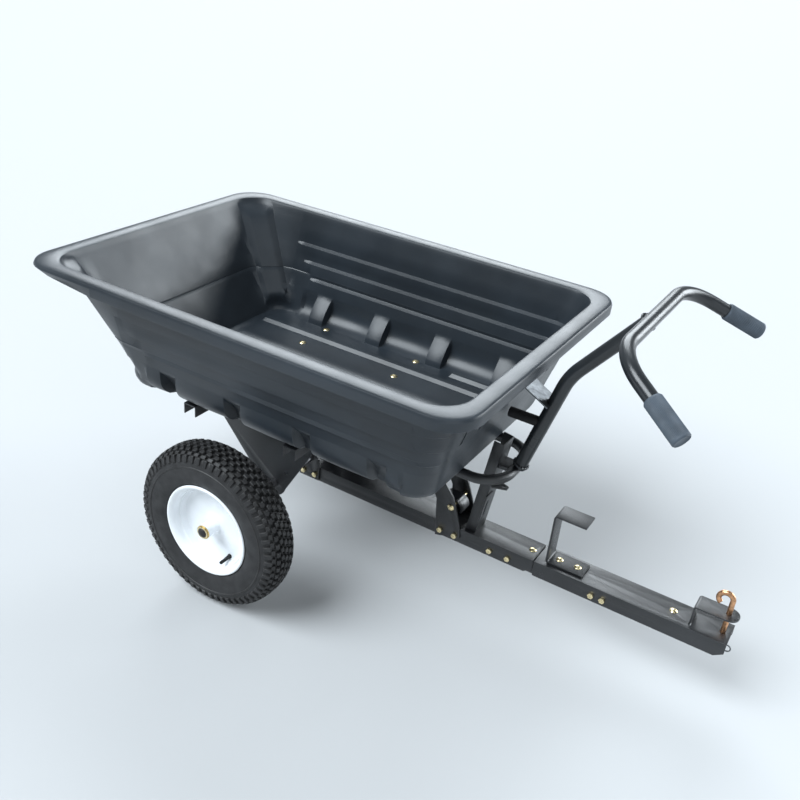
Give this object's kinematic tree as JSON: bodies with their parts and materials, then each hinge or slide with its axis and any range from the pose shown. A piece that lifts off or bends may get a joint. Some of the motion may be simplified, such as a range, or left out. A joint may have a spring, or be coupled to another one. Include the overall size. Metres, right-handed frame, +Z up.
{
  "type": "tow behind cart",
  "caption": "Two-wheeled garden cart with a moulded tub that tips about its axle, a towing drawbar with hitch pin, and a push handle.",
  "frame": {"origin": "under the middle of the cart, on the floor that the wheels stand on", "axes": "+X forward to the hitch, +Y to the left, +Z up; the tub is level, as when hitched"},
  "size_m": [1.6856, 0.9126, 0.844],
  "materials": {
    "tub_plastic": "satin, fine grain",
    "zinc": "yellow zinc plate",
    "powder_coat": "fine textured powder coat",
    "handle_paint": "satin",
    "grip_rubber": "fine lengthwise ribs",
    "black_rubber": "matte",
    "bright_steel": "bright",
    "axle_steel": "satin",
    "black_bolt": "satin",
    "copper_finish": "copper wash",
    "tyre_rubber": "turf tread",
    "white_paint": "gloss",
    "brass": "satin"
  },
  "bodies": {
    "frame": {"drawbar_rear": "powder_coat", "drawbar_front": "powder_coat", "splice_channel": "powder_coat", "splice_bolts": "zinc", "axle_ears": "powder_coat", "ear_bolts": "zinc", "axle": "axle_steel", "axle_collars": "powder_coat", "axle_washers": "zinc", "axle_end_bolts": "black_bolt", "guide_plates": "powder_coat", "guide_bolts": "zinc", "latch_pin": "zinc", "step_bracket": "powder_coat", "step_bolts": "zinc", "hitch_tongue": "powder_coat", "tongue_bolt": "zinc"},
    "tray": {"tub": "tub_plastic", "tub_bolts": "zinc", "tub_nuts": "zinc", "front_strap": "powder_coat", "rear_strap": "powder_coat", "frame_rail": "powder_coat", "left_axle_plate": "powder_coat", "right_axle_plate": "powder_coat", "support_leg": "powder_coat", "leg_tie": "powder_coat", "lock_tab": "powder_coat", "slot_plate": "powder_coat", "handle_column": "handle_paint", "handlebar": "handle_paint", "left_grip": "grip_rubber", "right_grip": "grip_rubber", "column_bracket": "bright_steel", "bracket_bolts": "zinc", "column_spacer": "black_rubber"},
    "latch": {"latch_lever": "powder_coat"},
    "hitch_pin": {"hitch_pin": "copper_finish"},
    "hairpin_clip": {"hairpin_clip": "bright_steel"},
    "left_wheel": {"left_tyre": "tyre_rubber", "left_inner_tube": "black_rubber", "left_wheel": "white_paint", "left_bushes": "brass", "left_valve": "black_rubber"},
    "right_wheel": {"right_tyre": "tyre_rubber", "right_inner_tube": "black_rubber", "right_wheel": "white_paint", "right_bushes": "brass", "right_valve": "black_rubber"}
  },
  "joints": [
    {"name": "tub_tip", "type": "hinge", "parent": "frame", "child": "tray", "pos_m": [-0.25775, 0, 0.203], "axis": [0, -1, 0], "range_deg": [0, 53.5]},
    {"name": "left_wheel_spin", "type": "hinge", "parent": "frame", "child": "left_wheel", "pos_m": [-0.25775, 0.402, 0.203], "axis": [0, 1, 0], "continuous": true},
    {"name": "right_wheel_spin", "type": "hinge", "parent": "frame", "child": "right_wheel", "pos_m": [-0.25775, -0.402, 0.203], "axis": [0, 1, 0], "continuous": true},
    {"name": "latch_press", "type": "hinge", "parent": "frame", "child": "latch", "pos_m": [0.15725, 0, 0.232], "axis": [0, -1, 0], "range_deg": [0, 20], "stiffness_Nm_per_rad": 2, "springref_deg": -5.73},
    {"name": "pin_lift", "type": "slide", "parent": "frame", "child": "hitch_pin", "axis": [0, 0, 1], "range_m": [0, 0.024]},
    {"name": "clip_pull", "type": "slide", "parent": "hitch_pin", "child": "hairpin_clip", "axis": [1, 0, 0], "range_m": [0, 0.03]}
  ]
}
